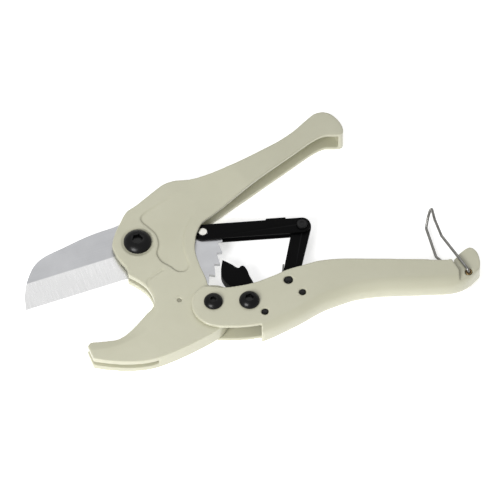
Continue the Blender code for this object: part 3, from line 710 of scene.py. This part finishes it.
body = prism("frame_casting", spline_loop(FRAME_OUT, 6), 0.0, HANDLE_W)
boolean(body, across_slab("slab", HEAD_W / 2, HANDLE_W / 2 + 0.5, 38.0, 74.0, 160.0), op='INTERSECT')
cavity = prism("cavity", CAVITY, -2.0, HANDLE_W + 2.0)
boolean(cavity, across_slab("cavity_slab", LINK_CAVITY_W / 2, CHANNEL_W / 2, 38.0, 74.0, 150.0), op='INTERSECT')
tools = [
    cavity,
    prism("slot_left", SLOT_LEFT, MID - SLOT_W / 2, MID + SLOT_W / 2),
    prism("slot_fan", [(0, 0)] + arc(PIVOT, 43.6, -62, 83, 64), MID - SLOT_W / 2 - 0.01, MID + SLOT_W / 2 + 0.01),
    cylinder("slot_hub", PIVOT, 16.4, MID - SLOT_W / 2 - 0.02, MID + SLOT_W / 2 + 0.02, 96),
    cylinder("pivot_bore", PIVOT, BOLT_R + GAP, -3.0, 20.0, 64),
    cylinder("counterbore", PIVOT, 8.0, MID + HEAD_W / 2 - 0.5, 20.0, 96),
    prism("nut_pocket", hexagon(PIVOT, 13.8), -3.0, 3.6),
    cylinder("hinge_bore", HINGE, 3.9, -3.0, 20.0, 48),
    cylinder("stop_bore", STOP_AT, 1.1, -3.0, 20.0, 32),
    panel_cut("panel_near", 1, 0.95, 0.12),
    panel_cut("panel_far", -1, 0.95, 0.12),
    facet_cut("seat_near", open_spline(SEAT_CREASE, 5), open_spline(SEAT_EDGE, 5), 0.9, 1),
    facet_cut("seat_far", open_spline(SEAT_CREASE, 5), open_spline(SEAT_EDGE, 5), 0.9, -1),
    tube("neck_crease_near", [(x, y, MID + HEAD_W / 2 + 0.35) for x, y in NECK_CREASE], 0.75, 16),
    tube("neck_crease_far", [(x, y, MID - HEAD_W / 2 - 0.35) for x, y in NECK_CREASE], 0.75, 16),
]
boolean(body, *tools)
cast(body, 0.36, 7)
place(body, "main_frame")

# ---- lower handle -----------------------------------------------------------
def grip_stations(step):
    g = np.array(GRIP)
    xs = [g[0][0], g[1][0] - 0.0]
    x = 62.0
    while x < 172.9:
        xs.append(x)
        x += step
    xs.append(173.0)
    out = []
    for x in xs:
        if x <= 61.9:
            out.append((x, float(np.interp(x, g[:, 0], g[:, 1])), 0.6))
        else:
            # smooth through the stations of the closed part
            i = int(np.searchsorted(g[:, 0], x))
            i = min(max(i, 3), len(g) - 1)
            a, b = g[i - 1], g[i]
            p, n = g[max(i - 2, 2)], g[min(i + 1, len(g) - 1)]
            t = (x - a[0]) / (b[0] - a[0])
            row = []
            for c in (1, 2):
                ma = (b[c] - p[c]) / (b[0] - p[0]) * (b[0] - a[0])
                mb = (n[c] - a[c]) / (n[0] - a[0]) * (b[0] - a[0])
                row.append((2 * t ** 3 - 3 * t * t + 1) * a[c] + (t ** 3 - 2 * t * t + t) * ma
                           + (-2 * t ** 3 + 3 * t * t) * b[c] + (t ** 3 - t * t) * mb)
            out.append((x, float(row[0]), float(min(row[1], 7.0))))
    return out


def grip_bar(name, inset, half, top, step, arcs):
    secs = []
    for x, yc, r in grip_stations(step):
        rr = max(min(r, half + inset) - inset, 0.4)
        pts = [(top, half), (yc, half)]
        for k in range(1, arcs + 1):
            a = math.radians(90 * k / arcs)
            pts.append((yc - rr * math.sin(a), half - rr + rr * math.cos(a) + 0.004))
        full = [(y, MID + z) for y, z in pts] + [(y, MID - z) for y, z in pts[::-1]]
        secs.append([(x, y, z) for y, z in full])
    return loft(name, secs)


grip = prism("lower_handle_casting", spline_loop(HANDLE_OUT, 6), 0.0, HANDLE_W)
boolean(grip, grip_bar("grip_outside", 0.0, HANDLE_W / 2, 30.0, 2.5, 12), op='INTERSECT')
channel = prism("channel", HANDLE_CHANNEL, -2.0, HANDLE_W + 2.0)
boolean(channel, grip_bar("grip_inside", WALL, CHANNEL_W / 2, 40.0, 4.0, 8), op='INTERSECT')
boolean(grip, channel,
        prism("fork", [(15, 10), (15, -90), (61.7, -90), (61.7, 10)],
              MID - CHANNEL_W / 2 - 0.01, MID + CHANNEL_W / 2 + 0.01),
        prism("tip_near", TIP_POCKET, HANDLE_W - 2.0, HANDLE_W + 3.0),
        prism("tip_far", TIP_POCKET, -3.0, 2.0),
        cylinder("h1", HINGE, 2.8, -3.0, 20.0, 48),
        cylinder("h2", PAWL_AT, 3.3, -3.0, 20.0, 48),
        cylinder("h3", LINK_AT, 2.3, -3.0, 20.0, 32),
        cylinder("h4", SPRING_STOP, 1.8, -3.0, 20.0, 32),
        cylinder("h5", PAWL_PIN, 1.8, -3.0, 20.0, 32),
        cylinder("h6", BAIL_AT, 1.9, 8.6, 20.0, 32),
        cylinder("h7", BAIL_AT, 1.9, -3.0, 5.4, 32))
cast(grip, 0.36, 7)
place(grip, "lower_handle")

# ---- blade ------------------------------------------------------------------
def fine_blade():
    pts = [(-55.55, -37.4), (-2.6, -18.05), (4.0, -18.4), (11.0, -20.6), (20.0, -26.2)]
    last = FIRST_TOOTH - TOOTH_PITCH * (TEETH - 1)
    pts += arc(PIVOT, 36.5, -56, last - 2.4, 3)[-1:] + [polar(ROOT_R + 0.2, last - 2.4)]
    for k in range(TEETH):
        a = last + TOOTH_PITCH * k
        pts += [polar(ROOT_R, a - 1.0), polar(ROOT_R + 0.5, a - 0.72), polar(TOOTH_R - 0.15, a - 0.08),
                polar(TOOTH_R, a + 0.12), polar(TOOTH_R - 0.2, a + 0.9)]
        if k < TEETH - 1:
            pts += [polar(ROOT_R + 1.4, a + 0.42 * TOOTH_PITCH), polar(ROOT_R + 0.5, a + 0.7 * TOOTH_PITCH),
                    polar(ROOT_R + 0.05, a + 0.84 * TOOTH_PITCH)]
    pts += [polar(40.6, FIRST_TOOTH + 5.0)]
    pts += arc(RIVET_AT, 4.4, 0, 120, 16)
    pts += [polar(20.5, 19.0)]
    pts += arc(PIVOT, 15.4, 28, 128, 28)
    tail = [(-12.4, 10.6), (-20.0, 7.7), (-27.65, 4.1), (-37.0, -1.2), (-46.0, -6.25),
            (-50.2, -10.0), (-52.9, -14.4), (-55.3, -22.05), (-56.3, -29.7)]
    return pts + open_spline(tail, 6)


def grind_cut(name, side):
    a, b = np.array((-59.5, -38.85)), np.array((-8.0, -20.0))
    d = (b - a) / np.linalg.norm(b - a)
    nrm = np.array((-d[1], d[0]))
    half, edge, wide = BLADE_T / 2, 0.15, 14.0
    sec = [(-1.0, edge - 0.066), (wide, half + 0.001), (wide, half + 3.0), (-1.0, half + 3.0)]
    rows = []
    for p in (a - d * 4.0, b + d * 9.0):
        rows.append([(float((p + nrm * o)[0]), float((p + nrm * o)[1]), MID + side * z) for o, z in sec])
    return loft(name, rows)


knife = prism("blade_plate", fine_blade(), MID - BLADE_T / 2, MID + BLADE_T / 2)
boolean(knife, grind_cut("grind_near", 1), grind_cut("grind_far", -1),
        cylinder("blade_bore", PIVOT, BUSH_R + GAP, 0.0, 14.0, 64),
        cylinder("blade_rivet_hole", RIVET_AT, 1.9, 0.0, 14.0, 32))
place(knife, "blade", 20.0)

# ---- screws, nut, pins and bushes -------------------------------------------
def button(name, at, base, head_r, height, shank_r, end_z, socket, n):
    dome = [(head_r - 0.12, base), (head_r, base + 0.12), (head_r, base + 0.18 * height)]
    for k in range(1, 15):
        a = math.radians(15 + 60 * k / 14.0)
        dome.append((head_r * math.cos(a) / math.cos(math.radians(15)),
                     base + 0.18 * height + 0.82 * height * (math.sin(a) - math.sin(math.radians(15)))
                     / (math.sin(math.radians(75)) - math.sin(math.radians(15)))))
    prof = [(shank_r - 0.4, end_z), (shank_r, end_z + 0.4), (shank_r, base)] + dome
    ob = turned(name, at, prof, n)
    boolean(ob, prism("socket", hexagon(at, socket, 15), base + 0.42 * height, base + height + 3))
    rim = turned("rim", at, [(socket * 0.50, base + height - 0.30), (socket * 0.66, base + height + 0.6)], n)
    boolean(ob, rim)
    return ob


bolt_base = MID + HEAD_W / 2 - 0.5 + 0.25
place(button("pivot_button_screw", PIVOT, bolt_base, BOLT_HEAD_R, 3.5, BOLT_R, 0.0, 5.0, 96), "blade_pivot_bolt", 30)
place(button("handle_button_screw", HINGE, HANDLE_W + 0.25, 4.75, 2.7, 2.5, 0.3, 3.0, 72), "handle_pivot_bolt", 30)
place(button("pawl_button_screw", PAWL_AT, HANDLE_W + 0.25, 5.15, 3.1, 3.0, 0.3, 4.0, 72), "pawl_bolt", 30)


def ring(name, at, r, bore, z0, z1, c, n=64):
    """A bush or spacer with chamfered rims."""
    return turned(name, at, [(bore + c, z0), (r - c, z0), (r, z0 + c), (r, z1 - c), (r - c, z1), (bore + c, z1)],
                  n, bore=None) if bore <= 0 else ring_solid(name, at, r, bore, z0, z1, c, n)


def ring_solid(name, at, r, bore, z0, z1, c, n):
    prof = [(bore, z0 + c), (bore + c, z0), (r - c, z0), (r, z0 + c), (r, z1 - c), (r - c, z1), (bore + c, z1),
            (bore, z1 - c)]
    bm = bmesh.new()
    rings = [[bm.verts.new((at[0] + q * math.cos(2 * math.pi * k / n), at[1] + q * math.sin(2 * math.pi * k / n), z))
              for k in range(n)] for q, z in prof]
    for a, b in zip(rings, rings[1:] + rings[:1]):
        for k in range(n):
            j = (k + 1) % n
            bm.faces.new((a[k], a[j], b[j], b[k]))
    bmesh.ops.recalc_face_normals(bm, faces=bm.faces)
    return from_bm(name, bm)


def pin(name, at, r, z0, z1, c, n=48):
    """A pin with a slightly crowned end."""
    prof = [(r - c, z0), (r, z0 + c), (r, z1 - c), (r - 0.3 * c, z1 - 0.4 * c), (r - c, z1)]
    return turned(name, at, prof, n)


place(ring_solid("pivot_bush", PIVOT, BUSH_R, BOLT_R + GAP, 5.6, 8.4, 0.15, 72), "blade_pivot_bushing", 30)
place(ring_solid("hinge_bush", HINGE, 3.6, 2.8, MID - 4.6, MID + 4.6, 0.12, 64), "handle_pivot_bushing", 30)
place(ring_solid("spacer_near", PAWL_AT, 5.2, 3.3, MID + 3.1, MID + 4.7, 0.2, 64), "pawl_spacer_near", 30)
place(ring_solid("spacer_far", PAWL_AT, 5.2, 3.3, MID - 4.7, MID - 3.1, 0.2, 64), "pawl_spacer_far", 30)
for side, z0, z1 in (("near", 9.0, 11.9), ("far", 2.1, 5.0)):
    place(ring_solid("latch_bush_" + side, BAIL_AT, 1.6, 1.05, z0, z1, 0.12, 40), "bail_bush_" + side, 30)

nut = prism("hex_nut", hexagon(PIVOT, 13.0), 0.0, 3.3)
boolean(nut, cylinder("nut_bore", PIVOT, BOLT_R + GAP, -2.0, 6.0, 64))
cone = turned("nut_cone", PIVOT, [(6.55, -0.001), (7.75, 0.62), (7.75, 2.68), (6.55, 3.301)], 96)
boolean(nut, cone, op='INTERSECT')
place(bevel(nut, 0.12, 2), "blade_pivot_nut", 30)

# the stop pin takes the darker enamel copy: painted shade in its bore
place(pin("stop_pin", STOP_AT, 1.0, MID - HEAD_W / 2 + 0.25, MID + HEAD_W / 2 - 0.25, 0.2), "blade_stop_pin", 30, PIN_PAINTED_SHADE)
place(pin("link_pin_turned", LINK_AT, 2.0, 0.2, HANDLE_W + 0.1, 0.3), "link_pin", 30)
place(pin("spring_stop_turned", SPRING_STOP, 1.5, 0.2, HANDLE_W + 0.1, 0.25), "spring_stop_pin", 30)
place(pin("pawl_spring_pin_turned", PAWL_PIN, 1.5, 0.2, HANDLE_W + 0.1, 0.25), "pawl_spring_pin", 30)

# ---- links ------------------------------------------------------------------
ux = np.array(ELBOW_AT) - np.array(RIVET_AT)
ux = ux / np.linalg.norm(ux)
uy = np.array((-ux[1], ux[0]))


def on_link(s, t):
    p = np.array(RIVET_AT) + ux * s + uy * t
    return (float(p[0]), float(p[1]))


def stadium(a, b, ra, rb, n):
    d = np.array(b) - np.array(a)
    ang = math.degrees(math.atan2(d[1], d[0]))
    return arc(a, ra, ang + 90, ang + 270, n) + arc(b, rb, ang - 90, ang + 90, n)


upper = prism("upper_link_plates", stadium(RIVET_AT, ELBOW_AT, LINK_HALF, LINK_HALF, 28), MID - 2.4, MID + 2.4)
bridge = [on_link(32.0, 2.0), on_link(42.0, 2.0), on_link(42.0, LINK_HALF + 0.8), on_link(32.0, LINK_HALF + 0.8)]
boolean(upper, prism("bridge", bridge, MID - 2.4, MID + 2.4), op='UNION')
inner = [on_link(-8, -8), on_link(31.0, -8), on_link(43.0, -8), on_link(60, -8), on_link(60, 8), on_link(43.0, 8),
         on_link(43.0, LINK_HALF - 0.4), on_link(31.0, LINK_HALF - 0.4), on_link(31.0, 8), on_link(-8, 8)]
boolean(upper, prism("link_gap", inner, MID - 1.4, MID + 1.4),
        cylinder("rivet_hole", RIVET_AT, 2.5, 0.0, 14.0, 40),
        cylinder("elbow_hole", ELBOW_AT, 1.9, 0.0, 14.0, 40))
place(bevel(upper, 0.2, 3), "upper_link", 35, LINK_BLACK)


def rivet(name, at, head_r, head_h, plate, shank_r, n=48):
    """Domed heads on both sides of the plates."""
    half = []
    for k in range(0, 9):
        a = math.radians(90 * k / 8.0)
        half.append((head_r * math.sin(a), MID - plate - head_h * math.cos(a)))
    prof = half + [(shank_r, MID - plate), (shank_r, MID + plate)]
    prof += [(r, 2 * MID - z) for r, z in half[::-1]]
    return turned(name, at, prof, n)


place(turned("link_rivet_turned", RIVET_AT,
             [(1.7, MID - 2.5), (2.1, MID - 2.42), (2.2, MID - 2.25), (2.2, MID - 1.5), (1.6, MID - 1.5),
              (1.6, MID + 1.5), (2.2, MID + 1.5), (2.2, MID + 2.25), (2.1, MID + 2.42), (1.7, MID + 2.5)], 48),
      "link_rivet", 40)
place(turned("elbow_rivet_turned", ELBOW_AT,
             [(0.8, MID - 3.35), (1.3, MID - 3.55), (2.2, MID - 3.6), (2.55, MID - 3.45), (2.7, MID - 3.15),
              (2.7, MID - 2.7), (1.6, MID - 2.7), (1.6, MID + 2.7), (2.7, MID + 2.7), (2.7, MID + 3.15),
              (2.55, MID + 3.45), (2.2, MID + 3.6), (1.3, MID + 3.55), (0.8, MID + 3.35)], 48),
      "elbow_rivet", 40)

lower = prism("lower_link_plate", stadium(LINK_AT, ELBOW_AT, 4.0, 4.6, 28), MID - 1.1, MID + 1.1)
boolean(lower, cylinder("pin_hole", LINK_AT, 2.3, 0.0, 14.0, 40),
        cylinder("elbow_slot", ELBOW_AT, 3.1, 0.0, 14.0, 48))
place(bevel(lower, 0.2, 3), "lower_link", 35, LINK_BLACK)

# ---- pawl -------------------------------------------------------------------
catch = prism("pawl_body", spline_loop(PAWL, 5), MID - 2.8, MID + 2.8)
boolean(catch, cylinder("pawl_bore", PAWL_AT, 3.3, -3.0, 20.0, 48))
place(bevel(catch, 0.35, 3), "pawl", 35, LINK_BLACK)


# ---- springs and wire latch -------------------------------------------------
def coil_spring(name, at, mean_r, wire_r, turns, z0, pitch, a0, leg_in, leg_out):
    n = 28
    steps = int(turns * n)
    coil = []
    for k in range(steps + 1):
        a = a0 + 360.0 * k / n
        x, y = polar(mean_r, a, at)
        coil.append((x, y, z0 + pitch * k / n))
    return tube(name, list(leg_in) + coil + list(leg_out), wire_r, 12)


def dense(pts, step):
    out = []
    for a, b in zip(pts, pts[1:]):
        a, b = np.array(a, float), np.array(b, float)
        n = max(1, int(np.linalg.norm(b - a) / step))
        for k in range(n):
            out.append(tuple(a + (b - a) * k / n))
    out.append(tuple(pts[-1]))
    return out


place(coil_spring("link_return_spring", LINK_AT, 3.1, 0.44, 2.2, 8.8, 1.0, 180.0,
                  dense([(LINK_AT[0] - 2.5, LINK_AT[1] + 12.0, 8.8), (LINK_AT[0] - 3.0, LINK_AT[1] + 6.0, 8.8),
                         (LINK_AT[0] - 3.1, LINK_AT[1] + 0.6, 8.8)], 0.8),
                  [(82.2, -28.45, 11.05)]), "link_spring",
      bend=("lower_handle", "lower_link", (0.0753, -0.0222, 0.0088), (0.0753, -0.0170, 0.0088)))
place(coil_spring("pawl_return_spring", PAWL_PIN, 2.35, 0.39, 3.6, 4.6, 0.95, 20.0,
                  dense([(61.9, -27.2, 4.6), (65.2, -38.0, 4.6), (65.8, -40.6, 4.6)], 0.8),
                  [(68.5, -46.4, 7.75)]), "pawl_spring",
      bend=("lower_handle", "pawl", (0.0652, -0.0392, 0.0046), (0.0619, -0.0272, 0.0046)))

BAIL_PATH = [BAIL_AT + (9.1,), BAIL_AT + (13.1,), (160.6, -10.4, 13.1), (151.9, 3.2, 12.3), (148.6, 14.5, 9.6),
             (147.0, 23.9, 6.9), (145.4, 19.0, 4.4), (144.4, 14.6, 1.2), (149.3, -2.2, 0.9),
             (160.6, -12.4, 0.9), BAIL_AT + (0.9,), BAIL_AT + (4.9,)]
place(tube("latch_wire", round_path(BAIL_PATH, 2.0, 9), WIRE_R - 0.05, 16), "wire_bail")

# ---- floor, light and camera ------------------------------------------------
bm = bmesh.new()
bmesh.ops.create_grid(bm, x_segments=1, y_segments=1, size=3000.0)
floor = from_bm("studio_floor", bm)
floor.location.z = -0.0006
fm, nt, b = new_material("studio_white")
b.inputs['Base Color'].default_value = (0.93, 0.93, 0.93, 1.0)
b.inputs['Roughness'].default_value = 0.9
b.inputs['Specular IOR Level'].default_value = 0.1
b.inputs['Emission Color'].default_value = (1.0, 1.0, 1.0, 1.0)
b.inputs['Emission Strength'].default_value = 0.55
floor.data.materials.append(fm)

CENTRE = Vector((0.0562, -0.0019, 0.007))


def softbox(name, direction, distance, size, watts, color=(1.0, 1.0, 1.0)):
    data = bpy.data.lights.new(name, 'AREA')
    data.shape = 'RECTANGLE'
    data.size, data.size_y = size
    data.energy = watts
    data.color = color
    ob = bpy.data.objects.new(name, data)
    d = Vector(direction).normalized()
    ob.location = CENTRE + d * distance
    ob.rotation_mode = 'QUATERNION'
    ob.rotation_quaternion = d.to_track_quat('Z', 'Y')
    scene.collection.objects.link(ob)
    return ob


softbox("key_front", (-0.55, -0.80, 0.75), 0.8, (0.35, 0.35), 4.6)
softbox("back_card", (0.0, 0.55, 0.85), 1.3, (1.1, 0.7), 2.0)

world = bpy.data.worlds.new("studio")
scene.world = world
world.use_nodes = True
bg = world.node_tree.nodes["Background"]
bg.inputs["Color"].default_value = (1.0, 1.0, 1.0, 1.0)
bg.inputs["Strength"].default_value = 0.42
scene.view_settings.view_transform = 'Standard'

cam_data = bpy.data.cameras.new("photo_camera")
cam_data.lens = 1000.0
cam_data.sensor_width = 36.0
cam_data.clip_start, cam_data.clip_end = 0.05, 20.0
cam = bpy.data.objects.new("photo_camera", cam_data)
elev = math.radians(58.0)
back = Vector((0.0, -math.cos(elev), math.sin(elev)))
cam.location = CENTRE + back * 6.944
cam.rotation_mode = 'QUATERNION'
cam.rotation_quaternion = (-back).to_track_quat('-Z', 'Y')
scene.collection.objects.link(cam)
scene.camera = cam
